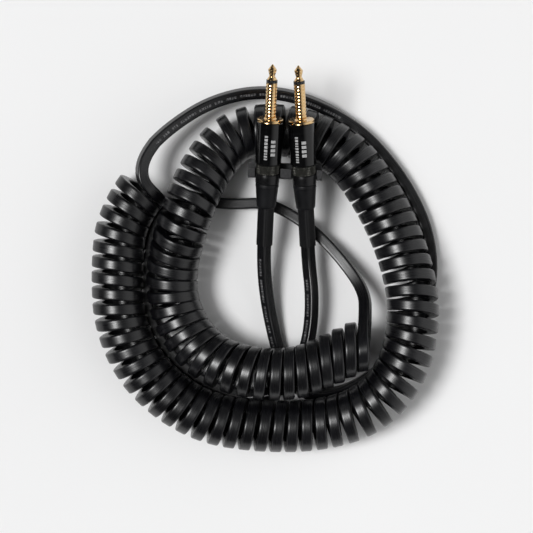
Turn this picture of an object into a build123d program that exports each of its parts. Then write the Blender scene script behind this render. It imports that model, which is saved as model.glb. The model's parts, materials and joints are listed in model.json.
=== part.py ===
from build123d import *
import math
import os

# Instrument cable: one curly square cable wound into a double loop, with a mono
# quarter-inch plug on each end and a small clip that holds the two plugs side by side.
# +X right, +Y towards the plug tips, +Z up. The coil lies on the plane z = 0, and the
# origin is under the middle of the whole cable. Millimetres.

# The cable
CABLE_RADIUS = 3.5            # round solid with the section area of the square cable
COIL_RADIUS = 15.0            # outside of the curly stretch
ARC_SHARE = 0.45              # part of the shorter run that each bend takes

# Quarter-inch plug shaft, to the standard
SHAFT_RADIUS = 3.175
SHAFT_LENGTH = 20.6           # flange face to the insulating ring
RING_LENGTH = 1.6             # the ring is flush with the shaft
TIP_BASE_RADIUS = 2.8         # just in front of the ring
TIP_NECK = 2.2                # from the ring to the neck
TIP_NECK_RADIUS = 1.6
TIP_RIDGE = 5.8               # from the ring to the widest part of the arrowhead
TIP_RIDGE_RADIUS = 2.5
TIP_LENGTH = 8.8
TIP_END_RADIUS = 0.35
ROD_RADIUS = 1.2
INSULATOR_RADIUS = 2.0

# Plug body, along the plug's axis behind the flange face
FLANGE_RADIUS = 7.45
FLANGE_THICKNESS = 1.9
THREAD_RADIUS = 6.1
THREAD_END = 8.4
SHELL_RADIUS = 7.45
SHELL_FRONT = 2.0
SHELL_END = 26.0
SHELL_BORE = 5.6
SPIGOT_RADIUS = 5.85
SPIGOT_END = 31.0
SPIGOT_BORE = 5.15
NUT_FRONT = 26.2
KNURL_RADIUS = 6.7
KNURL_END = 31.9
COLLAR_RADIUS = 6.8
COLLAR_END = 37.6
NUT_SEAT = 35.4
BOOT_END = 52.2
BOOT_RADIUS = 6.7
BOOT_END_RADIUS = 5.3
CABLE_START = 20.0            # where the jacket begins, in the cable clamp
SLEEVE_START = 46.5
SLEEVE_END = 74.8
SLEEVE_RADIUS = 4.3
THREAD_GAP = 0.1
PART_GAP = 0.25

# Plug places: the middle of each flange face, and the way the tip points
LEFT_FLANGE = Vector(2.7, 81.3, 41.2)
LEFT_AXIS = Vector(0.0449, 0.9529, 0.3).normalized()
RIGHT_FLANGE = Vector(20.2, 80.7, 41.2)
RIGHT_AXIS = Vector(-0.0566, 0.9523, 0.3).normalized()

# Clip
CLIP_GRIP = 32.4              # distance behind the flange face that it holds
CLIP_BORE = 7.05
CLIP_DEPTH = 5.4
CLIP_LEFT = -10.1
CLIP_RIGHT = 32.5
CLIP_FLOOR = 7.9              # top of the base plate, below the plug axes
CLIP_BASE = 1.4               # thickness of the base plate
CLIP_LEDGE = 3.7              # how far the base plate runs on under the shells
CLIP_TOP = 1.0                # finger tips, above the plug axes
CLIP_TURN = -2.4              # the clip sits slightly askew

# Middle line of the curly stretch, from its outer end to its inner end
COIL_ROUTE = [
    (-69.5, 45, 15),
    (-83.5, 27, 15),
    (-86.5, -6, 15),
    (-84.5, -38, 15),
    (-69, -68, 15),
    (-39, -89.5, 15),
    (-6, -95.5, 15),
    (32, -95, 16),
    (61.5, -85, 20.5),
    (80.5, -61, 23.4),
    (86.5, -28, 23.4),
    (80.5, 4, 18),
    (66.5, 36, 15.4),
    (46.5, 64.5, 15),
    (14, 77.5, 15),
    (-17, 75.5, 15.6),
    (-34.5, 55, 21),
    (-46.5, 26, 27),
    (-55.5, -6, 16.5),
    (-52, -32, 16),
    (-35, -55, 21.5),
    (-8.5, -64.5, 29.5),
    (19, -64, 31.5),
    (36.6, -56.6, 32.5),
    (53.2, -48.2, 33.4),
]

# Lead from the left plug, under both coils and over the top to the coil's outer end
LEAD_A_ROUTE = [
    LEFT_FLANGE - LEFT_AXIS * SLEEVE_END,
    LEFT_FLANGE - LEFT_AXIS * 86,
    (0.8, -22, 9),
    (6, -47, 4.8),
    (12, -66, 4.1),
    (24, -78.5, 4.1),
    (46, -77, 4.1),
    (70, -61, 4.1),
    (90, -38, 4.1),
    (97.8, -12, 4.1),
    (97, 10, 4.2),
    (90.5, 31, 4.5),
    (77, 54, 5),
    (56, 77.6, 6.5),
    (28, 94, 9.5),
    (-2, 100, 13),
    (-31, 93.5, 16.5),
    (-55, 78, 20.5),
    (-70.5, 62, 24.5),
    (-73, 51, 28),
    (-70.5, 42, 27),
]

# Lead from the right plug, over the other lead, round the left and across the middle
LEAD_B_ROUTE = [
    RIGHT_FLANGE - RIGHT_AXIS * SLEEVE_END,
    RIGHT_FLANGE - RIGHT_AXIS * 85,
    (27.2, -20, 16.5),
    (26, -42, 14.6),
    (20, -62, 12.6),
    (7, -76.5, 10),
    (-12, -78.5, 4.1),
    (-33, -72.5, 4.1),
    (-55, -55.5, 4.1),
    (-68, -34, 4.1),
    (-70.5, -10, 4.1),
    (-68, 12, 4.1),
    (-60, 31, 4.1),
    (-42, 36.5, 4.1),
    (-20, 33.5, 4.4),
    (0, 35, 5.5),
    (17, 27, 6),
    (33, 14, 9),
    (48, -3, 13.5),
    (57, -17, 19),
    (57.6, -29.5, 29),
    (55, -41, 38),
    (53.3, -48.5, 42.4),
]


def bend_radii(points):
    """Radius of the tangent arc at each inner point of a route."""
    radii = []
    for before, here, after in zip(points, points[1:], points[2:]):
        run_in = here - before
        run_out = after - here
        turn = math.radians(run_in.get_angle(run_out))
        radii.append(ARC_SHARE * min(run_in.length, run_out.length) / math.tan(turn / 2))
    return radii


def tube(name, route, radius):
    """Round solid along straight runs joined by tangent arcs."""
    points = [Vector(point) for point in route]
    radii = bend_radii(points)
    path = FilletPolyline(*points, radius=radii)
    section = Plane(origin=path @ 0, z_dir=path % 0) * Circle(radius)
    solid = sweep(section, path=path)
    print(f"{name}: length {path.length:.0f}, tightest bend {min(radii):.1f}, "
          f"volume over section times length {solid.volume / (math.pi * radius ** 2 * path.length):.4f}")
    return solid


def turned(*outline):
    """Solid of revolution about the plug's axis, from (radius, height) corners."""
    with BuildPart() as piece:
        with BuildSketch(Plane.XZ):
            with BuildLine():
                Polyline(*outline, close=True)
            make_face()
        revolve(axis=Axis.Z)
    return piece.part


def hollow(outer, inner, front, back):
    """Plain tube about the plug's axis between two distances behind the flange face."""
    return turned((inner, -front), (outer, -front), (outer, -back), (inner, -back))


def tip_contact():
    """Pointed arrowhead tip and its waist, with the rod that runs back through the shaft."""
    ring_front = SHAFT_LENGTH + RING_LENGTH
    rod_back = -6.2
    return turned(
        (0, rod_back), (ROD_RADIUS, rod_back), (ROD_RADIUS, ring_front), (TIP_BASE_RADIUS - 0.2, ring_front),
        (TIP_BASE_RADIUS, ring_front + 0.2), (TIP_NECK_RADIUS, ring_front + TIP_NECK),
        (TIP_RIDGE_RADIUS, ring_front + TIP_RIDGE), (TIP_END_RADIUS, ring_front + TIP_LENGTH),
        (0, ring_front + TIP_LENGTH),
    )


def tip_insulator():
    """Plastic ring behind the tip, with the sleeve that lines the shaft's bore."""
    back = -4.2
    return turned(
        (ROD_RADIUS, SHAFT_LENGTH + RING_LENGTH), (SHAFT_RADIUS, SHAFT_LENGTH + RING_LENGTH),
        (SHAFT_RADIUS, SHAFT_LENGTH), (INSULATOR_RADIUS, SHAFT_LENGTH),
        (INSULATOR_RADIUS, back), (ROD_RADIUS, back),
    )


def sleeve_body():
    """Gold shaft and flange, with the threaded body that the shell screws onto."""
    pocket = 4.0
    return turned(
        (INSULATOR_RADIUS, SHAFT_LENGTH), (SHAFT_RADIUS, SHAFT_LENGTH), (SHAFT_RADIUS, 0.6),
        (3.9, 0), (FLANGE_RADIUS - 0.35, 0), (FLANGE_RADIUS, -0.35),
        (FLANGE_RADIUS, -FLANGE_THICKNESS + 0.35), (FLANGE_RADIUS - 0.35, -FLANGE_THICKNESS),
        (THREAD_RADIUS - 0.4, -FLANGE_THICKNESS), (THREAD_RADIUS - 0.4, -2.6),
        (THREAD_RADIUS, -3.0), (THREAD_RADIUS, -THREAD_END),
        (pocket, -THREAD_END), (pocket, -4.2), (INSULATOR_RADIUS, -4.2),
    )


def rear_bush():
    """Insulating bush that keeps the rod and its lug off the threaded body."""
    return turned((ROD_RADIUS, -4.2), (4.0, -4.2), (4.0, -5.4), (ROD_RADIUS, -5.4))


def tip_lug():
    """Solder lug riveted on the end of the rod."""
    washer = hollow(2.9, ROD_RADIUS, 5.4, 5.9)
    tongue = Pos(0, 2.55, -9.4) * Box(2.2, 0.5, 8.0)
    eye = Pos(0, 2.55, -12.0) * Rot(90, 0, 0) * Cylinder(0.55, 2)
    return washer + tongue - eye


def ground_clamp():
    """Brass frame behind the body, with the clamp that grips the cable's jacket."""
    ring = hollow(5.0, 4.05, THREAD_END, THREAD_END + 0.8)
    strap = Pos(0, -4.3, -(THREAD_END + 17.4) / 2 - 0.4) * Box(3.0, 0.7, 17.8 - THREAD_END)
    jaw = hollow(4.75, CABLE_RADIUS, 17.4, 22.6)
    slot = Pos(0, 4, -20) * Box(1.6, 4, 8)
    return ring + strap + jaw - slot


def core_wire():
    """Insulated inner conductor, from the lug back to the cable's cut end."""
    path = FilletPolyline((0, 0, -CABLE_START), (0, 0, -16), (0, 1.6, -12.8), (0, 1.6, -9.5),
                          radius=[2.0, 2.0])
    section = Plane(origin=path @ 0, z_dir=path % 0) * Circle(0.7)
    return sweep(section, path=path)


def shield_tail():
    """Twisted screen of the cable, soldered to the clamp's strap."""
    path = FilletPolyline((0, -2.0, -CABLE_START), (0, -2.0, -17.2), (0, -3.1, -15), (0, -3.1, -11),
                          radius=[1.5, 1.5])
    section = Plane(origin=path @ 0, z_dir=path % 0) * Circle(0.8)
    return sweep(section, path=path)


def liner():
    """Insulating tube between the contacts and the shell."""
    return hollow(SHELL_BORE - PART_GAP, 5.05, 9.6, 24.0)


def shell():
    """Barrel of the plug: threaded onto the body in front, with a threaded spigot behind."""
    edge = 0.3
    return turned(
        (THREAD_RADIUS + THREAD_GAP, -SHELL_FRONT), (SHELL_RADIUS - edge, -SHELL_FRONT),
        (SHELL_RADIUS, -SHELL_FRONT - edge), (SHELL_RADIUS, -SHELL_END + edge),
        (SHELL_RADIUS - edge, -SHELL_END), (SPIGOT_RADIUS, -SHELL_END),
        (SPIGOT_RADIUS, -SPIGOT_END), (SPIGOT_BORE, -SPIGOT_END),
        (SPIGOT_BORE, -24.4), (SHELL_BORE, -24.4), (SHELL_BORE, -9.2),
        (THREAD_RADIUS + THREAD_GAP, -9.2),
    )


def chuck():
    """Split collet that the gland nut closes on the jacket."""
    sleeve = hollow(4.9, CABLE_RADIUS + PART_GAP, 25.2, 31.2)
    slots = [Rot(0, 0, angle) * Pos(4.3, 0, -28.9) * Box(2.4, 0.9, 4.9) for angle in range(0, 360, 90)]
    return sleeve - slots


def gland_nut():
    """Knurled ring and smooth collar that screw onto the shell and hold the boot."""
    edge = 0.3
    bore = SPIGOT_RADIUS + THREAD_GAP
    return turned(
        (bore, -NUT_FRONT), (KNURL_RADIUS - edge, -NUT_FRONT), (KNURL_RADIUS, -NUT_FRONT - edge),
        (KNURL_RADIUS, -KNURL_END + 0.2), (KNURL_RADIUS - 0.4, -KNURL_END),
        (COLLAR_RADIUS, -KNURL_END - 0.3), (COLLAR_RADIUS, -COLLAR_END + edge),
        (COLLAR_RADIUS - edge, -COLLAR_END), (5.2, -COLLAR_END), (5.2, -NUT_SEAT), (bore, -NUT_SEAT),
    )


def boot():
    """Rubber strain relief, held by its head inside the gland nut."""
    narrow = CABLE_RADIUS + PART_GAP
    wide = SLEEVE_RADIUS + PART_GAP
    return turned(
        (narrow, -31.8), (5.7, -31.8), (5.7, -NUT_SEAT + 0.1), (4.95, -NUT_SEAT + 0.1),
        (4.95, -COLLAR_END - 0.15), (BOOT_RADIUS, -COLLAR_END - 0.15),
        (BOOT_RADIUS, -COLLAR_END - 2.2), (BOOT_END_RADIUS + 0.3, -BOOT_END + 1),
        (BOOT_END_RADIUS, -BOOT_END), (wide, -BOOT_END), (wide, -38.6), (narrow, -38.6),
    )


def cable_sleeve():
    """Shrunk sleeve over the cable where it leaves the boot."""
    return hollow(SLEEVE_RADIUS, CABLE_RADIUS, SLEEVE_START, SLEEVE_END)


def cable_end():
    """Straight end of the cable, from the clamp through the boot to the sleeve's end."""
    return turned((0, -CABLE_START), (CABLE_RADIUS, -CABLE_START), (CABLE_RADIUS, -SLEEVE_END),
                  (0, -SLEEVE_END))


PLUG_PIECES = {
    "tip_contact": tip_contact,
    "tip_insulator": tip_insulator,
    "sleeve_body": sleeve_body,
    "rear_bush": rear_bush,
    "tip_lug": tip_lug,
    "ground_clamp": ground_clamp,
    "core_wire": core_wire,
    "shield_tail": shield_tail,
    "liner": liner,
    "shell": shell,
    "chuck": chuck,
    "gland_nut": gland_nut,
    "boot": boot,
    "cable_sleeve": cable_sleeve,
    "cable_end": cable_end,
}


def plug_plane(flange, axis):
    """Plug frame: z along the plug to its tip, x level, y upwards."""
    level = Vector(0, 0, 1).cross(axis).normalized()
    return Plane(origin=flange, x_dir=level, z_dir=axis)


def plug_clip():
    """Three upright fingers on a base plate, with a channel for each plug's nut."""
    grip_y = (LEFT_FLANGE - LEFT_AXIS * CLIP_GRIP).Y
    grip_z = (LEFT_FLANGE - LEFT_AXIS * CLIP_GRIP).Z
    across = (CLIP_LEFT + CLIP_RIGHT) / 2
    width = CLIP_RIGHT - CLIP_LEFT
    height = CLIP_FLOOR + CLIP_TOP
    fingers = Pos(0, 0, CLIP_TOP - height / 2) * Box(width, CLIP_DEPTH, height)
    base = Pos(0, CLIP_LEDGE / 2, -CLIP_FLOOR - CLIP_BASE / 2) * Box(
        width, CLIP_DEPTH + CLIP_LEDGE, CLIP_BASE)
    upright = base.edges().filter_by(Axis.Z).sort_by(Axis.Y)
    base = fillet(upright[-2:], 5)
    clip = Pos(across, grip_y, grip_z) * Rot(0, 0, CLIP_TURN) * (fingers + base)
    for flange, axis in ((LEFT_FLANGE, LEFT_AXIS), (RIGHT_FLANGE, RIGHT_AXIS)):
        grip = plug_plane(flange - axis * CLIP_GRIP, axis)
        channel = Cylinder(CLIP_BORE, 40) + Pos(0, 10, 0) * Box(2 * CLIP_BORE, 20, 40)
        clip = clip - grip * channel
    return clip


def build():
    """Every node's solid, placed."""
    nodes = {}
    for side, flange, axis in (("left", LEFT_FLANGE, LEFT_AXIS), ("right", RIGHT_FLANGE, RIGHT_AXIS)):
        place = plug_plane(flange, axis)
        for name, make in PLUG_PIECES.items():
            nodes[f"{side}_{name}"] = place * make()
    nodes["plug_clip"] = plug_clip()
    nodes["coiled_section"] = tube("coiled_section", COIL_ROUTE, COIL_RADIUS)
    nodes["lead_a"] = tube("lead_a", LEAD_A_ROUTE, CABLE_RADIUS)
    nodes["lead_b"] = tube("lead_b", LEAD_B_ROUTE, CABLE_RADIUS)
    return nodes


os.makedirs("parts", exist_ok=True)
for node, solid in build().items():
    export_step(solid, f"parts/{node}.step")
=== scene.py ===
import json
import math
import random

import bmesh
import bpy
from mathutils import Matrix, Vector


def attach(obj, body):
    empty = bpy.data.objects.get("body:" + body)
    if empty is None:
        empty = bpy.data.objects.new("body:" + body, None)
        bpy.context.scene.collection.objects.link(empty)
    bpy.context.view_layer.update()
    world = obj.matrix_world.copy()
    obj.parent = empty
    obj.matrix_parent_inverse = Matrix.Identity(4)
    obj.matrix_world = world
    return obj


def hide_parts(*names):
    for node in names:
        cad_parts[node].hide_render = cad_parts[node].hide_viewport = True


# Instrument cable: a curly square cable wound into a double loop, with a quarter-inch
# plug on each end and a clip that holds the plugs side by side. Routes and sizes are in
# millimetres, and MM turns them into Blender's metres.

MM = 0.001
random.seed(11)

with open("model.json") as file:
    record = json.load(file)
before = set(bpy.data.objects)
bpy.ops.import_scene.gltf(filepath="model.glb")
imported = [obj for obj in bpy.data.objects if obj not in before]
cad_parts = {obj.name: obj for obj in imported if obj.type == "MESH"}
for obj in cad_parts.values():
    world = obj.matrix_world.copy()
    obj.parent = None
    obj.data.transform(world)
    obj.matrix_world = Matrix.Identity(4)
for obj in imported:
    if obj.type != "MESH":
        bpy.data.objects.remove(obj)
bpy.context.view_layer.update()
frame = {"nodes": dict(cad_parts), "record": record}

# ---------------------------------------------------------------- sizes and routes

CABLE_SIDE = 6.35             # square section
CORNER_RADIUS = 0.95
CORNER_STEPS = 3
COIL_RADIUS = 15.0            # outside of the curly stretch
COIL_TURNS = 87
RINGS_PER_TURN = 38
END_SHARE = 0.1               # the last part of the coil, which holds one turn more than its share
END_LEAN = 0.75               # how far the turns of that part lean from the coil's line towards +X
LEAD_STEP = 3.0
JOIN_RINGS = 9                # rings over which a lead runs into the coil

# Along each plug, as distances behind its flange face
SHAFT_MIDDLE = -10.7          # the shaft mounts' place
RING_PITCH = 1.9              # turned rings in the plating
RING_HEIGHT = 0.085
SHELL_RADIUS = 7.45
NUT_FRONT = 26.2
NUT_BORE = 5.95
KNURL_END = 31.9
KNURL_RADIUS = 6.75
KNURL_DEPTH = 0.42
KNURL_COUNT = 42              # diamonds round the nut
COLLAR_END = 37.6
COLLAR_RADIUS = 6.85
COLLAR_BORE = 5.25
COLLAR_LIP = 2.2              # depth of the collar's narrow end
BOOT_FRONT = 37.75
BOOT_END = 52.2
BOOT_RADIUS = 6.65
BOOT_END_RADIUS = 5.35
BOOT_COLLAR_START = 31.8      # collar inside the nut
BOOT_COLLAR_END = 35.3
BOOT_COLLAR_RADIUS = 5.7
BOOT_NECK_RADIUS = 5.0
BOOT_BORE = 3.8
BOOT_POCKET = 4.9             # wide bore over the sleeve
BOOT_POCKET_START = 38.6
SLEEVE_START = 46.5
SLEEVE_END = 74.8
SLEEVE_SIDE = 7.7             # shrunk over the square cable
SLEEVE_CORNER = 1.7

# Clip
CLIP_GRIP = 32.4              # distance behind the flange faces that it holds
CLIP_BORE = 7.05
CLIP_DEPTH = 5.4
CLIP_LEFT = -10.1
CLIP_RIGHT = 32.5
CLIP_FLOOR = 7.9
CLIP_BASE = 1.4
CLIP_LEDGE = 3.7
CLIP_TOP = 1.0
CLIP_TURN = -2.4

# Light
KEY_TILT = 28                 # degrees from overhead, on the left
KEY_SIZE = 19
KEY_ENERGY = 2.0
GLOW = 2.6                    # round the lamp
GLOW_REACH = 26               # degrees from the lamp's middle
WALL = 0.85                   # pale wall on the right
WALL_FOOT = 0.2               # sideways part of the direction at which the wall starts to show
WALL_FULL = 0.7
DIM = 0.04                    # everywhere else

# Camera, straight down
CAMERA_X = 0.6
CAMERA_Y = -2.6
CAMERA_HEIGHT = 1100
CAMERA_LENS = 126.3           # millimetres, on a 36 mm sensor

COIL_ROUTE = [
    (-69.5, 45, 15),
    (-83.5, 27, 15),
    (-86.5, -6, 15),
    (-84.5, -38, 15),
    (-69, -68, 15),
    (-39, -89.5, 15),
    (-6, -95.5, 15),
    (32, -95, 16),
    (61.5, -85, 20.5),
    (80.5, -61, 23.4),
    (86.5, -28, 23.4),
    (80.5, 4, 18),
    (66.5, 36, 15.4),
    (46.5, 64.5, 15),
    (14, 77.5, 15),
    (-17, 75.5, 15.6),
    (-34.5, 55, 21),
    (-46.5, 26, 27),
    (-55.5, -6, 16.5),
    (-52, -32, 16),
    (-35, -55, 21.5),
    (-8.5, -64.5, 29.5),
    (19, -64, 31.5),
    (37, -55.8, 32.5),
    (55.6, -46.8, 34),
]


def plug_axis(side):
    """Flange face's middle and the way the tip points, in millimetres, from the shaft's mount."""
    mount = next(m for m in frame["record"]["mounts"] if m["name"] == f"{side}_plug_shaft")
    axis = Vector(mount["axis"]).normalized()
    return Vector(mount["pos_m"]) / MM + axis * SHAFT_MIDDLE, axis


PLUGS = {side: plug_axis(side) for side in ("left", "right")}


def behind(side, distance):
    """Point on a plug's axis, that far behind its flange face."""
    flange, axis = PLUGS[side]
    return flange - axis * distance


LEAD_A_ROUTE = [
    behind("left", SLEEVE_END),
    behind("left", 86),
    (0.8, -22, 9),
    (6, -47, 4.8),
    (12, -66, 4.1),
    (24, -78.5, 4.1),
    (46, -77, 4.1),
    (70, -61, 4.1),
    (90, -38, 4.1),
    (97.8, -12, 4.1),
    (97, 10, 4.2),
    (90.5, 31, 4.5),
    (77, 54, 5),
    (56, 77.6, 6.5),
    (28, 94, 9.5),
    (-2, 100, 13),
    (-31, 93.5, 16.5),
    (-55, 78, 20.5),
    (-70.5, 62, 24.5),
    (-73, 51, 28),
    (-70.5, 42, 27),
]

LEAD_B_ROUTE = [
    behind("right", SLEEVE_END),
    behind("right", 85),
    (27.2, -20, 16.5),
    (26, -42, 14.6),
    (20, -62, 12.6),
    (7, -76.5, 10),
    (-12, -78.5, 4.1),
    (-33, -72.5, 4.1),
    (-55, -55.5, 4.1),
    (-68, -34, 4.1),
    (-70.5, -10, 4.1),
    (-68, 12, 4.1),
    (-60, 31, 4.1),
    (-42, 36.5, 4.1),
    (-20, 33.5, 4.4),
    (0, 35, 5.5),
    (17, 27, 6),
    (33, 14, 9),
    (48, -3, 13.5),
    (57, -17, 19),
    (57.6, -29.5, 29),
    (56, -39.5, 38),
    (55.6, -47, 43),
]


# ---------------------------------------------------------------- lines

def spline_points(route):
    """Points in millimetres along the NURBS line that has the route as its control points."""
    data = bpy.data.curves.new("route", "CURVE")
    data.dimensions = "3D"
    data.resolution_u = 24
    spline = data.splines.new("NURBS")
    spline.points.add(len(route) - 1)
    for point, place in zip(spline.points, route):
        point.co = (*(Vector(place) * MM), 1)
    spline.order_u = 3
    spline.use_endpoint_u = True
    holder = bpy.data.objects.new("route", data)
    mesh = bpy.data.meshes.new_from_object(holder)
    points = [vertex.co / MM for vertex in mesh.vertices]
    bpy.data.objects.remove(holder)
    bpy.data.curves.remove(data)
    bpy.data.meshes.remove(mesh)
    return points


def lengths(points):
    """Distance along the line at each of its points."""
    total = [0.0]
    for a, b in zip(points, points[1:]):
        total.append(total[-1] + (b - a).length)
    return total


def at_length(points, total, where):
    """Point at a distance along the line; total is what lengths gives."""
    where = min(max(where, 0.0), total[-1])
    low, high = 0, len(total) - 1
    while high - low > 1:
        middle = (low + high) // 2
        if total[middle] <= where:
            low = middle
        else:
            high = middle
    span = total[high] - total[low]
    share = (where - total[low]) / span if span else 0.0
    return points[low].lerp(points[high], share)


def evenly(points, step):
    """The same line with points a step apart."""
    total = lengths(points)
    count = max(2, round(total[-1] / step))
    return [at_length(points, total, total[-1] * i / count) for i in range(count + 1)]


def tangents(points):
    """Unit direction of the line at each point."""
    out = []
    for i in range(len(points)):
        ahead = points[min(i + 1, len(points) - 1)]
        back = points[max(i - 1, 0)]
        out.append((ahead - back).normalized())
    return out


def eased(values, middle, reach, rounds=12):
    """The vectors with the few on each side of the middle one blended, where a lead meets the coil."""
    values = [value.copy() for value in values]
    for _ in range(rounds):
        before = [value.copy() for value in values]
        for i in range(max(middle - reach, 1), min(middle + reach, len(values) - 1)):
            values[i] = before[i].lerp((before[i - 1] + before[i + 1]) / 2, 0.5)
    return values


# ---------------------------------------------------------------- the cable

def stepped(stops, share):
    """Value at a share of the way, eased between (share, value) stops."""
    for (low, a), (high, b) in zip(stops, stops[1:]):
        if share <= high:
            t = (share - low) / (high - low)
            return a + (b - a) * t * t * (3 - 2 * t)
    return stops[-1][1]


def coil_line():
    """Middle of the cable round the curly stretch, with the way each point faces outwards."""
    axis = evenly(spline_points(COIL_ROUTE), 1.0)
    total = lengths(axis)
    turn_radius = COIL_RADIUS - CABLE_SIDE / 2
    count = COIL_TURNS * RINGS_PER_TURN
    points, outward = [], []
    for i in range(count + 1):
        share = i / count
        uneven = (0.12 * math.sin(share * 23.0 + 0.7) + 0.04 * math.sin(share * 61.0)
                  + 0.014 * math.sin(share * 151.0 + 2.0))
        packed = stepped([(0, 0), (1 - END_SHARE, 0), (1, 1)], share)
        turn = share * (COIL_TURNS - 1) + packed + uneven * math.sin(math.pi * share)
        angle = 2 * math.pi * turn
        where = total[-1] * share
        centre = at_length(axis, total, where)
        way = (at_length(axis, total, where + 2) - at_length(axis, total, where - 2)).normalized()
        way = way.lerp(Vector((1, 0, 0)), END_LEAN * packed).normalized()
        up = (Vector((0, 0, 1)) - way * way.z).normalized()
        left = up.cross(way)
        radial = up * math.cos(angle) + left * math.sin(angle)
        points.append(centre + radial * turn_radius)
        outward.append(radial)
    return points, outward


def lead_line(route, twist):
    """Middle of a lead and its upper face; twist turns it about the line, as (share, degrees) stops."""
    points = evenly(spline_points(route), LEAD_STEP)
    facing = []
    for i, way in enumerate(tangents(points)):
        up = (Vector((0, 0, 1)) - way * way.z).normalized()
        angle = math.radians(stepped(twist, i / (len(points) - 1)))
        facing.append(Matrix.Rotation(angle, 3, way) @ up)
    return points, facing


def cable_line(lead_a, lead_b, coil):
    """The whole cable from the left plug's sleeve, round the coil, to the right plug's sleeve."""
    inside = 4.0
    (points_a, facing_a), (points_b, facing_b), (points_c, facing_c) = lead_a, lead_b, coil
    start = points_a[0] + PLUGS["left"][1] * inside
    end = points_b[0] + PLUGS["right"][1] * inside
    points = [start] + points_a[:-1] + points_c + points_b[-2::-1] + [end]
    facing = [facing_a[0]] + facing_a[:-1] + facing_c + facing_b[-2::-1] + [facing_b[0]]
    for middle in (len(points_a), len(points_a) + len(points_c)):
        points = eased(points, middle, JOIN_RINGS)
        facing = eased(facing, middle, JOIN_RINGS)
    return points, facing


def square_section(side, corner):
    """Corners of a rounded square, counter-clockwise, with two points on each flat."""
    half = side / 2
    outline = []
    for quarter in range(4):
        turn = Matrix.Rotation(math.pi / 2 * quarter, 2)
        for step in range(CORNER_STEPS + 1):
            angle = math.pi / 2 * step / CORNER_STEPS
            outline.append(turn @ Vector((half - corner + corner * math.cos(angle),
                                          half - corner + corner * math.sin(angle))))
        flat = half - corner
        for share in (0.72, -0.72):
            outline.append(turn @ Vector((flat * share, half)))
    return outline


def swept(name, points, facing, outline, close_ends=True):
    """Mesh of an outline carried along a line, with UVs in metres along it and shares round it."""
    mesh = bpy.data.meshes.new(name)
    ways = tangents(points)
    total = lengths(points)
    count = len(outline)
    around = [0.0]
    for a, b in zip(outline, outline[1:] + outline[:1]):
        around.append(around[-1] + (b - a).length)
    around = [value / around[-1] for value in around]
    vertices = []
    for point, way, face in zip(points, ways, facing):
        out = (face - way * face.dot(way)).normalized()
        side = way.cross(out)
        for corner in outline:
            vertices.append((point + out * corner.y + side * corner.x) * MM)
    faces = []
    places = []
    for ring in range(len(points) - 1):
        here, there = ring * count, (ring + 1) * count
        for i in range(count):
            j = (i + 1) % count
            faces.append((here + i, there + i, there + j, here + j))
            u0, u1 = total[ring] * MM, total[ring + 1] * MM
            v0, v1 = around[i], around[i + 1]
            places.append(((u0, v0), (u1, v0), (u1, v1), (u0, v1)))
    if close_ends:
        faces.append(tuple(range(count)))
        faces.append(tuple(range((len(points) - 1) * count, len(points) * count))[::-1])
        places.append(tuple((0.0, 0.0) for _ in range(count)))
        places.append(tuple((0.0, 0.0) for _ in range(count)))
    mesh.from_pydata(vertices, [], faces)
    layer = mesh.uv_layers.new(name="along")
    corner_index = 0
    for face in places:
        for place in face:
            layer.data[corner_index].uv = place
            corner_index += 1
    mesh.polygons.foreach_set("use_smooth", [True] * len(mesh.polygons))
    mesh.update()
    return added(name, mesh)


def added(name, mesh):
    """The mesh as an object of the scene."""
    piece = bpy.data.objects.new(name, mesh)
    bpy.context.collection.objects.link(piece)
    return piece


def cable():
    """The cable as one mesh, with its printed marks."""
    lead_a = lead_line(LEAD_A_ROUTE, [(0, 45), (0.16, 45), (0.3, 0), (0.62, 0), (0.72, -25), (1, -25)])
    lead_b = lead_line(LEAD_B_ROUTE, [(0, 45), (0.16, 45), (0.32, 0), (0.8, 0), (1, 30)])
    points, facing = cable_line(lead_a, lead_b, coil_line())
    piece = swept("curly_cable", points, facing, square_section(CABLE_SIDE, CORNER_RADIUS))
    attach(piece, "cable")
    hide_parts("lead_a", "coiled_section", "lead_b")
    piece.data.materials.append(jacket_rubber())
    ink = jacket_ink()
    stretches = (("marks_by_left_plug", lead_a, 8, 62), ("marks_on_arc", lead_a, 318, 440),
                 ("marks_by_right_plug", lead_b, 20, 48))
    for name, line, start, end in stretches:
        marks = cable_marks(name, *line, start, end)
        marks.data.materials.append(ink)
        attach(marks, "cable")


def cable_marks(name, points, facing, start, end):
    """Plain dashes in uneven groups along the upper face of a lead."""
    total = lengths(points)
    half_height = 0.75
    proud = 0.03
    mesh = bmesh.new()
    where = start
    while where < end:
        for _ in range(random.randint(3, 9)):
            width = random.uniform(0.8, 1.5)
            corners = []
            for place in (where, where + width):
                middle = at_length(points, total, place)
                way = (at_length(points, total, place + 1) - middle).normalized()
                face = facing[min(int(place / LEAD_STEP + 0.5), len(facing) - 1)]
                out = (face - way * face.dot(way)).normalized()
                side = way.cross(out)
                top = middle + out * (CABLE_SIDE / 2 + proud)
                corners.append(top + side * half_height)
                corners.append(top - side * half_height)
            a, b, c, d = [mesh.verts.new(corner * MM) for corner in corners]
            mesh.faces.new((a, c, d, b))
            where += width + 0.5
        where += 1.8
    data = bpy.data.meshes.new(name)
    mesh.to_mesh(data)
    mesh.free()
    return added(name, data)


# ---------------------------------------------------------------- the plugs

def plug_frame(side):
    """Matrix from plug places (across, up, towards the tip) to the row frame."""
    flange, axis = PLUGS[side]
    across = Vector((0, 0, 1)).cross(axis).normalized()
    up = axis.cross(across)
    frame_of_plug = Matrix((across, up, axis)).transposed().to_4x4()
    frame_of_plug.translation = flange
    return frame_of_plug


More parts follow.
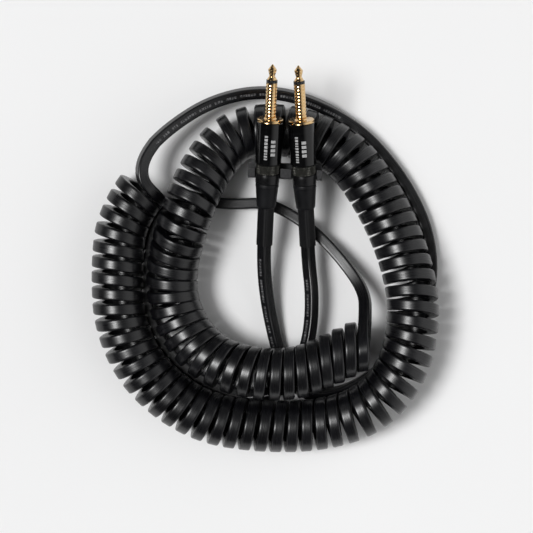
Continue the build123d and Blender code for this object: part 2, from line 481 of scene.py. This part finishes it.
def turned_piece(name, side, outline, steps, relief=None):
    """Closed outline of (radius, distance behind the flange) corners turned about the plug's axis."""
    place = plug_frame(side)
    vertices = []
    for i in range(steps):
        angle = 2 * math.pi * i / steps
        for radius, behind_flange in outline:
            if relief:
                radius += relief(radius, behind_flange, angle)
            local = Vector((radius * math.cos(angle), radius * math.sin(angle), -behind_flange))
            vertices.append(place @ local * MM)
    count = len(outline)
    faces = []
    for i in range(steps):
        j = (i + 1) % steps
        for k in range(count):
            m = (k + 1) % count
            faces.append((i * count + k, j * count + k, j * count + m, i * count + m))
    mesh = bpy.data.meshes.new(name)
    mesh.from_pydata(vertices, [], faces)
    mesh.polygons.foreach_set("use_smooth", [True] * len(mesh.polygons))
    mesh.set_sharp_from_angle(angle=math.radians(38))
    mesh.update()
    return added(name, mesh)


def rounded(corners, radius, steps=4):
    """Outline with each corner of the open chain of points rounded off."""
    out = [corners[0]]
    for a, b, c in zip(corners, corners[1:], corners[2:]):
        a, b, c = Vector(a), Vector(b), Vector(c)
        reach = min(radius, (a - b).length / 2, (c - b).length / 2)
        start = b + (a - b).normalized() * reach
        end = b + (c - b).normalized() * reach
        for step in range(steps + 1):
            t = step / steps
            out.append(tuple(start * (1 - t) ** 2 + b * 2 * t * (1 - t) + end * t * t))
    out.append(corners[-1])
    return out


def diamonds(radius, behind_flange, angle):
    """Depth of the knurl at a place on the nut: small pyramids between two sets of slanting grooves."""
    edge = 0.45
    if radius < KNURL_RADIUS - 0.01 or not NUT_FRONT + edge < behind_flange < KNURL_END - edge:
        return 0.0
    pitch = 2 * math.pi * KNURL_RADIUS / KNURL_COUNT
    turn = angle * KNURL_COUNT / (2 * math.pi)
    along = behind_flange / pitch
    one = abs(2 * ((turn + along) % 1) - 1)
    other = abs(2 * ((turn - along) % 1) - 1)
    return -KNURL_DEPTH * max(one, other) ** 1.5


def gland_nut(side):
    """Knurled ring, a fine groove and the smooth collar behind it."""
    edge = 0.3
    rows = 44
    knurl = [(KNURL_RADIUS, NUT_FRONT + edge + (KNURL_END - NUT_FRONT - 2 * edge) * i / rows)
             for i in range(rows + 1)]
    front = [(NUT_BORE, NUT_FRONT), (KNURL_RADIUS - edge, NUT_FRONT)]
    collar = rounded([(KNURL_RADIUS - edge, KNURL_END), (KNURL_RADIUS - 0.5, KNURL_END + 0.15),
                      (COLLAR_RADIUS - 0.1, KNURL_END + 0.35), (COLLAR_RADIUS, KNURL_END + 1.6),
                      (COLLAR_RADIUS, COLLAR_END), (COLLAR_BORE, COLLAR_END),
                      (COLLAR_BORE, COLLAR_END - COLLAR_LIP), (NUT_BORE, COLLAR_END - COLLAR_LIP)], 0.3)
    piece = turned_piece(f"{side}_knurled_nut", side, front + knurl + collar, KNURL_COUNT * 8, diamonds)
    piece.data.materials.append(nut_black())
    piece.data.materials.append(knurl_black())
    for face in piece.data.polygons:
        if len(front) <= face.index % len(front + knurl + collar) < len(front + knurl):
            face.material_index = 1
    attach(piece, f"{side}_nut")
    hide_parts(f"{side}_gland_nut")


def boot(side):
    """Tapered rubber strain relief with a rolled front edge and a soft end."""
    outline = rounded([
        (BOOT_BORE, BOOT_COLLAR_START), (BOOT_COLLAR_RADIUS, BOOT_COLLAR_START),
        (BOOT_COLLAR_RADIUS, BOOT_COLLAR_END), (BOOT_NECK_RADIUS, BOOT_COLLAR_END),
        (BOOT_NECK_RADIUS, BOOT_FRONT), (BOOT_RADIUS, BOOT_FRONT),
        (BOOT_RADIUS, BOOT_FRONT + 2.0), (BOOT_RADIUS - 0.16, BOOT_FRONT + 2.25),
        (BOOT_END_RADIUS + 0.2, BOOT_END - 0.8), (BOOT_END_RADIUS - 0.25, BOOT_END),
        (BOOT_POCKET, BOOT_END), (BOOT_POCKET, BOOT_POCKET_START), (BOOT_BORE, BOOT_POCKET_START),
        (BOOT_BORE, BOOT_COLLAR_START)], 0.45)
    piece = turned_piece(f"{side}_strain_relief", side, outline[:-1], 96)
    piece.data.materials.append(boot_rubber())
    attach(piece, f"{side}_boot")
    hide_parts(f"{side}_boot")


def sleeve(side):
    """Shrunk sleeve, which takes the square shape of the cable inside it."""
    rings = 24
    points = [behind(side, SLEEVE_START + (SLEEVE_END - SLEEVE_START) * i / rings) for i in range(rings + 1)]
    axis = PLUGS[side][1]
    up = (Vector((0, 0, 1)) - axis * axis.z).normalized()
    facing = [Matrix.Rotation(math.radians(45), 3, -axis) @ up] * len(points)
    piece = swept(f"{side}_shrunk_sleeve", points, facing, square_section(SLEEVE_SIDE, SLEEVE_CORNER))
    piece.data.set_sharp_from_angle(angle=math.radians(50))
    piece.data.materials.append(shrink_sleeve())
    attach(piece, "cable")
    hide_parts(f"{side}_cable_sleeve")


def shell_marks(side, turn):
    """Plain white bars printed on the shell: a column of thin ones and a column of thick ones."""
    place = plug_frame(side)
    thin = []
    where = 8.6
    while where < 23.2:
        width = random.choice((0.8, 1.1, 1.5))
        thin.append((where, where + width))
        where += width + 0.6
    thick = [(11.2 + 2.5 * i, 12.9 + 2.5 * i) for i in range(4)]
    mesh = bmesh.new()
    columns = ((thin, -20, -6), (thick, 9, 29))
    for bars, low, high in columns:
        for front, back in bars:
            rows = []
            for step in range(5):
                angle = math.radians(90 + turn + low + (high - low) * step / 4)
                radius = SHELL_RADIUS + 0.04
                x, y = radius * math.cos(angle), radius * math.sin(angle)
                rows.append([mesh.verts.new(place @ Vector((x, y, -distance)) * MM)
                             for distance in (front, back)])
            for a, b in zip(rows, rows[1:]):
                mesh.faces.new((a[0], b[0], b[1], a[1]))
    data = bpy.data.meshes.new(f"{side}_shell_marks")
    bmesh.ops.recalc_face_normals(mesh, faces=mesh.faces)
    mesh.to_mesh(data)
    mesh.free()
    piece = added(f"{side}_shell_marks", data)
    piece.data.materials.append(white_ink())
    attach(piece, f"{side}_shell")


def clip():
    """Clip with three fingers on a base plate, and a channel between them for each nut."""
    left_grip = behind("left", CLIP_GRIP)
    right_grip = behind("right", CLIP_GRIP)
    slope = PLUGS["left"][1].z / PLUGS["left"][1].y
    bottom = -CLIP_FLOOR - CLIP_BASE
    outline = [(CLIP_LEFT, bottom), (CLIP_LEFT, CLIP_TOP)]
    arc_steps = 18
    for grip in (left_grip, right_grip):
        outline.append((grip.x - CLIP_BORE, CLIP_TOP))
        for i in range(arc_steps + 1):
            angle = math.pi * (1 + i / arc_steps)
            outline.append((grip.x + CLIP_BORE * math.cos(angle), CLIP_BORE * math.sin(angle)))
        outline.append((grip.x + CLIP_BORE, CLIP_TOP))
    outline += [(CLIP_RIGHT, CLIP_TOP), (CLIP_RIGHT, bottom)]
    across = (CLIP_LEFT + CLIP_RIGHT) / 2
    turn = Matrix.Rotation(math.radians(CLIP_TURN), 3, "Z")
    height = (left_grip.z + right_grip.z) / 2
    mesh = bmesh.new()

    def corner(x, y, z):
        local = turn @ Vector((x - across, y, z + slope * y))
        return mesh.verts.new((local + Vector((across, left_grip.y, height))) * MM)

    def block(rim, low, high):
        front = [corner(*low(point)) for point in rim]
        back = [corner(*high(point)) for point in rim]
        mesh.faces.new(front)
        mesh.faces.new(back[::-1])
        for i in range(len(rim)):
            j = (i + 1) % len(rim)
            mesh.faces.new((front[j], front[i], back[i], back[j]))

    half = CLIP_DEPTH / 2
    block(outline, lambda p: (p[0], -half, p[1]), lambda p: (p[0], half, p[1]))
    ledge_end = half + CLIP_LEDGE
    ledge = rounded([(CLIP_LEFT, half - 0.6), (CLIP_LEFT, ledge_end), (CLIP_RIGHT, ledge_end),
                     (CLIP_RIGHT, half - 0.6)], 5.0, 8)
    block(ledge, lambda p: (p[0], p[1], bottom), lambda p: (p[0], p[1], -CLIP_FLOOR))
    bmesh.ops.recalc_face_normals(mesh, faces=mesh.faces)
    data = bpy.data.meshes.new("plug_holder")
    mesh.to_mesh(data)
    mesh.free()
    piece = added("plug_holder", data)
    bevel = piece.modifiers.new("soft edges", "BEVEL")
    bevel.width = 0.45 * MM
    bevel.segments = 3
    bevel.limit_method = "ANGLE"
    bevel.angle_limit = math.radians(40)
    piece.data.polygons.foreach_set("use_smooth", [True] * len(piece.data.polygons))
    piece.data.set_sharp_from_angle(angle=math.radians(40))
    piece.data.materials.append(clip_plastic())
    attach(piece, "clip")
    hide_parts("plug_clip")


# ---------------------------------------------------------------- materials

def new_material(name, **settings):
    """Material with a Principled shader, whose sockets take the settings given by name."""
    paint = bpy.data.materials.new(name)
    paint.use_nodes = True
    shader = paint.node_tree.nodes["Principled BSDF"]
    for socket, value in settings.items():
        shader.inputs[socket.replace("_", " ")].default_value = value
    return paint, paint.node_tree, shader


def grain(tree, scale, stretch=(1, 1, 1), detail=3.0, source="Object"):
    """Noise over the surface, in cells per metre; returns its factor."""
    place = tree.nodes.new("ShaderNodeTexCoord")
    mapping = tree.nodes.new("ShaderNodeMapping")
    mapping.inputs["Scale"].default_value = stretch
    texture = tree.nodes.new("ShaderNodeTexNoise")
    texture.inputs["Scale"].default_value = scale
    texture.inputs["Detail"].default_value = detail
    tree.links.new(place.outputs[source], mapping.inputs["Vector"])
    tree.links.new(mapping.outputs["Vector"], texture.inputs["Vector"])
    return texture.outputs["Fac"]


def spread(tree, value, low, high, to_low, to_high):
    """The value mapped from one range to another."""
    node = tree.nodes.new("ShaderNodeMapRange")
    node.inputs["From Min"].default_value = low
    node.inputs["From Max"].default_value = high
    node.inputs["To Min"].default_value = to_low
    node.inputs["To Max"].default_value = to_high
    tree.links.new(value, node.inputs["Value"])
    return node.outputs["Result"]


def tint(tree, value, low, high, dark, light):
    """Colour between two, as the value goes from low to high."""
    node = tree.nodes.new("ShaderNodeValToRGB")
    first, last = node.color_ramp.elements
    first.position, last.position = low, high
    first.color = (*dark, 1)
    last.color = (*light, 1)
    tree.links.new(value, node.inputs["Fac"])
    return node.outputs["Color"]


def raised(tree, shader, height, strength, distance):
    """Bumps the surface by a height value."""
    node = tree.nodes.new("ShaderNodeBump")
    node.inputs["Strength"].default_value = strength
    node.inputs["Distance"].default_value = distance
    tree.links.new(height, node.inputs["Height"])
    tree.links.new(node.outputs["Normal"], shader.inputs["Normal"])


def jacket_rubber():
    """Satin black jacket: fine streaks along the cable, patchy sheen and specks of dust."""
    paint, tree, shader = new_material("jacket_rubber", Specular_IOR_Level=0.52)
    streaks = grain(tree, 1.0, (45, 70, 1), 4.0, "UV")
    patches = grain(tree, 55, detail=2.0)
    dust = grain(tree, 2600, detail=1.0)
    tree.links.new(spread(tree, streaks, 0.3, 0.7, 0.24, 0.36), shader.inputs["Roughness"])
    shade = tint(tree, patches, 0.35, 0.65, (0.0015, 0.0015, 0.0022), (0.0045, 0.0046, 0.0058))
    speck = tint(tree, dust, 0.70, 0.76, (0, 0, 0), (0.055, 0.055, 0.055))
    both = tree.nodes.new("ShaderNodeMix")
    both.data_type = "RGBA"
    both.blend_type = "ADD"
    both.inputs["Factor"].default_value = 1
    tree.links.new(shade, both.inputs["A"])
    tree.links.new(speck, both.inputs["B"])
    tree.links.new(both.outputs["Result"], shader.inputs["Base Color"])
    raised(tree, shader, streaks, 0.35, 0.00012)
    return paint


def jacket_ink():
    """Grey ink on the jacket, worn thin in places."""
    paint, tree, shader = new_material("jacket_ink", Roughness=0.55)
    wear = grain(tree, 900, detail=3.0)
    tree.links.new(tint(tree, wear, 0.38, 0.62, (0.03, 0.03, 0.032), (0.16, 0.16, 0.165)),
                   shader.inputs["Base Color"])
    return paint


def gold(side):
    """Polished gold plate over fine turned rings, with small marks from use."""
    paint, tree, shader = new_material(f"{side}_gold", Metallic=1.0)
    smears = grain(tree, 240, detail=4.0)
    place = tree.nodes.new("ShaderNodeTexCoord")
    along = tree.nodes.new("ShaderNodeVectorMath")
    along.operation = "DOT_PRODUCT"
    along.inputs[1].default_value = PLUGS[side][1] * (2 * math.pi / (RING_PITCH * MM))
    tree.links.new(place.outputs["Object"], along.inputs[0])
    rings = tree.nodes.new("ShaderNodeMath")
    rings.operation = "SINE"
    tree.links.new(along.outputs["Value"], rings.inputs[0])
    tree.links.new(tint(tree, smears, 0.3, 0.75, (0.66, 0.44, 0.21), (0.76, 0.54, 0.29)),
                   shader.inputs["Base Color"])
    tree.links.new(spread(tree, smears, 0.35, 0.7, 0.06, 0.14), shader.inputs["Roughness"])
    raised(tree, shader, rings.outputs["Value"], 1.0, RING_HEIGHT * MM)
    return paint


def shell_lacquer():
    """Gloss black lacquer over metal with a faint orange peel and hairline scratches."""
    paint, tree, shader = new_material("shell_lacquer", Specular_IOR_Level=0.42)
    peel = grain(tree, 700, detail=1.0)
    haze = grain(tree, 120, (1, 6, 1), 3.0)
    tree.links.new(tint(tree, haze, 0.35, 0.7, (0.0012, 0.0012, 0.0014), (0.003, 0.003, 0.0034)),
                   shader.inputs["Base Color"])
    tree.links.new(spread(tree, haze, 0.3, 0.7, 0.09, 0.15), shader.inputs["Roughness"])
    raised(tree, shader, peel, 0.05, 0.00004)
    return paint


def white_ink():
    """White print with slightly broken coverage."""
    paint, tree, shader = new_material("white_ink", Roughness=0.45)
    cover = grain(tree, 1800, detail=2.0)
    tree.links.new(tint(tree, cover, 0.3, 0.5, (0.20, 0.20, 0.20), (0.42, 0.42, 0.42)),
                   shader.inputs["Base Color"])
    return paint


def nut_black():
    """Black plated metal of the smooth collar, faintly uneven in sheen."""
    paint, tree, shader = new_material("nut_plating", Metallic=0.3, Specular_IOR_Level=0.4)
    haze = grain(tree, 160, detail=2.0)
    tree.links.new(tint(tree, haze, 0.3, 0.7, (0.005, 0.005, 0.0055), (0.009, 0.009, 0.0098)),
                   shader.inputs["Base Color"])
    tree.links.new(spread(tree, haze, 0.3, 0.7, 0.24, 0.32), shader.inputs["Roughness"])
    return paint


def knurl_black():
    """Plating of the knurled ring, rubbed brighter in small random patches."""
    paint, tree, shader = new_material("knurl_plating", Metallic=0.8)
    rub = grain(tree, 2600, detail=2.0)
    tree.links.new(tint(tree, rub, 0.3, 0.7, (0.040, 0.040, 0.036), (0.070, 0.069, 0.061)),
                   shader.inputs["Base Color"])
    tree.links.new(spread(tree, rub, 0.3, 0.7, 0.16, 0.24), shader.inputs["Roughness"])
    return paint


def boot_rubber():
    """Soft black rubber with a fine moulded grain."""
    paint, tree, shader = new_material("boot_moulding", Specular_IOR_Level=0.26)
    skin = grain(tree, 2200, detail=2.0)
    smudge = grain(tree, 130, detail=3.0)
    tree.links.new(tint(tree, smudge, 0.35, 0.7, (0.0018, 0.0019, 0.0026), (0.0045, 0.0047, 0.0060)),
                   shader.inputs["Base Color"])
    tree.links.new(spread(tree, smudge, 0.3, 0.7, 0.42, 0.56), shader.inputs["Roughness"])
    raised(tree, shader, skin, 0.12, 0.00005)
    return paint


def shrink_sleeve():
    """Shrunk tubing: satin black with fine creases along it."""
    paint, tree, shader = new_material("shrink_tubing", Specular_IOR_Level=0.3)
    creases = grain(tree, 1.0, (30, 40, 1), 4.0, "UV")
    skin = grain(tree, 1400, detail=2.0)
    tree.links.new(tint(tree, skin, 0.35, 0.7, (0.0018, 0.0018, 0.0024), (0.0045, 0.0046, 0.0055)),
                   shader.inputs["Base Color"])
    tree.links.new(spread(tree, creases, 0.3, 0.7, 0.38, 0.55), shader.inputs["Roughness"])
    raised(tree, shader, creases, 0.3, 0.00012)
    return paint


def plastic(name, dark, light, low, high, scale=900):
    """Moulded plastic with a fine grain; colours and roughness vary between the two given."""
    paint, tree, shader = new_material(name)
    skin = grain(tree, scale, detail=3.0)
    tree.links.new(tint(tree, skin, 0.35, 0.65, dark, light), shader.inputs["Base Color"])
    tree.links.new(spread(tree, skin, 0.3, 0.7, low, high), shader.inputs["Roughness"])
    raised(tree, shader, skin, 0.1, 0.00005)
    return paint


def metal(name, dark, light, low, high, scale=600):
    """Plated or bare metal, uneven in colour and polish."""
    paint, tree, shader = new_material(name, Metallic=1.0)
    skin = grain(tree, scale, detail=4.0)
    tree.links.new(tint(tree, skin, 0.3, 0.7, dark, light), shader.inputs["Base Color"])
    tree.links.new(spread(tree, skin, 0.3, 0.7, low, high), shader.inputs["Roughness"])
    raised(tree, shader, skin, 0.08, 0.00004)
    return paint


def clip_plastic():
    """Matte black plastic of the clip."""
    return plastic("clip_moulding", (0.016, 0.016, 0.017), (0.030, 0.030, 0.032), 0.45, 0.6)


def dress_nodes():
    """Gives every CAD node that stays its own finish."""
    finishes = {
        "tip_insulator": plastic("insulator_ring", (0.006, 0.006, 0.006), (0.012, 0.012, 0.012), 0.2, 0.32),
        "shell": shell_lacquer(),
        "rear_bush": plastic("bush_moulding", (0.42, 0.37, 0.28), (0.52, 0.47, 0.37), 0.4, 0.55),
        "tip_lug": metal("lug_tin", (0.62, 0.56, 0.45), (0.80, 0.76, 0.68), 0.25, 0.45),
        "ground_clamp": metal("clamp_nickel", (0.55, 0.53, 0.48), (0.72, 0.70, 0.65), 0.2, 0.4),
        "core_wire": plastic("core_insulation", (0.70, 0.70, 0.67), (0.82, 0.82, 0.79), 0.4, 0.5),
        "shield_tail": metal("shield_copper", (0.55, 0.28, 0.16), (0.80, 0.50, 0.33), 0.3, 0.5, 2400),
        "liner": plastic("liner_tube", (0.03, 0.03, 0.032), (0.05, 0.05, 0.052), 0.3, 0.45),
        "chuck": plastic("chuck_nylon", (0.04, 0.04, 0.042), (0.07, 0.07, 0.072), 0.35, 0.5),
        "cable_end": plastic("cable_end_rubber", (0.010, 0.010, 0.011), (0.018, 0.018, 0.019), 0.4, 0.55),
    }
    for side in PLUGS:
        plating = gold(side)
        for name, finish in {**finishes, "tip_contact": plating, "sleeve_body": plating}.items():
            for material_slot in frame["nodes"][f"{side}_{name}"].material_slots:
                material_slot.material = finish


# ---------------------------------------------------------------- studio

def camera():
    """Straight down over the middle, from 1.1 m."""
    data = bpy.data.cameras.new("camera")
    data.lens = CAMERA_LENS
    data.sensor_width = 36
    data.clip_end = 10
    item = bpy.data.objects.new("camera", data)
    item.location = (CAMERA_X * MM, CAMERA_Y * MM, CAMERA_HEIGHT * MM)
    bpy.context.collection.objects.link(item)
    bpy.context.scene.camera = item


def floor():
    """Pale sheet that the cable lies on, a hair below it."""
    size = 3.0
    mesh = bpy.data.meshes.new("floor")
    corners = [(-size, -size, -0.0001), (size, -size, -0.0001), (size, size, -0.0001), (-size, size, -0.0001)]
    mesh.from_pydata(corners, [], [(0, 1, 2, 3)])
    sheet = added("floor", mesh)
    paint, tree, shader = new_material("floor_paint", Roughness=0.9, Specular_IOR_Level=0.0)
    cloud = grain(tree, 4.0, detail=2.0)
    tree.links.new(tint(tree, cloud, 0.3, 0.7, (0.872, 0.872, 0.874), (0.888, 0.888, 0.890)),
                   shader.inputs["Base Color"])
    mesh.materials.append(paint)


def key_light():
    """Soft lamp high on the left."""
    lamp = bpy.data.lights.new("key", "SUN")
    lamp.energy = KEY_ENERGY
    lamp.angle = math.radians(KEY_SIZE)
    key = bpy.data.objects.new("key", lamp)
    key.rotation_euler = (0, math.radians(-KEY_TILT), 0)
    bpy.context.collection.objects.link(key)


def room():
    """Dim studio: a dark ceiling, a soft glow round the lamp and a pale wall on the right."""
    world = bpy.data.worlds.new("room")
    world.use_nodes = True
    tree = world.node_tree
    place = tree.nodes.new("ShaderNodeTexCoord")
    split = tree.nodes.new("ShaderNodeSeparateXYZ")
    tree.links.new(place.outputs["Generated"], split.inputs["Vector"])
    towards = tree.nodes.new("ShaderNodeVectorMath")
    towards.operation = "DOT_PRODUCT"
    tilt = math.radians(KEY_TILT)
    towards.inputs[1].default_value = (-math.sin(tilt), 0, math.cos(tilt))
    tree.links.new(place.outputs["Generated"], towards.inputs[0])
    glow = spread(tree, towards.outputs["Value"], math.cos(math.radians(GLOW_REACH)), 1.0, 0.0, GLOW)
    wall = spread(tree, split.outputs["X"], WALL_FOOT, WALL_FULL, 0.0, WALL)
    total = tree.nodes.new("ShaderNodeMath")
    total.operation = "ADD"
    tree.links.new(glow, total.inputs[0])
    tree.links.new(wall, total.inputs[1])
    final = tree.nodes.new("ShaderNodeMath")
    final.operation = "ADD"
    final.inputs[1].default_value = DIM
    tree.links.new(total.outputs["Value"], final.inputs[0])
    background = tree.nodes["Background"]
    tree.links.new(final.outputs["Value"], background.inputs["Strength"])
    background.inputs["Color"].default_value = (1.0, 1.0, 1.0, 1)
    bpy.context.scene.world = world
    bpy.context.scene.view_settings.view_transform = "Standard"


# ---------------------------------------------------------------- the scene

cable()
camera()
for side, mark_turn in (("left", 0), ("right", -14)):
    gland_nut(side)
    boot(side)
    sleeve(side)
    shell_marks(side, mark_turn)
clip()
dress_nodes()
floor()
key_light()
room()
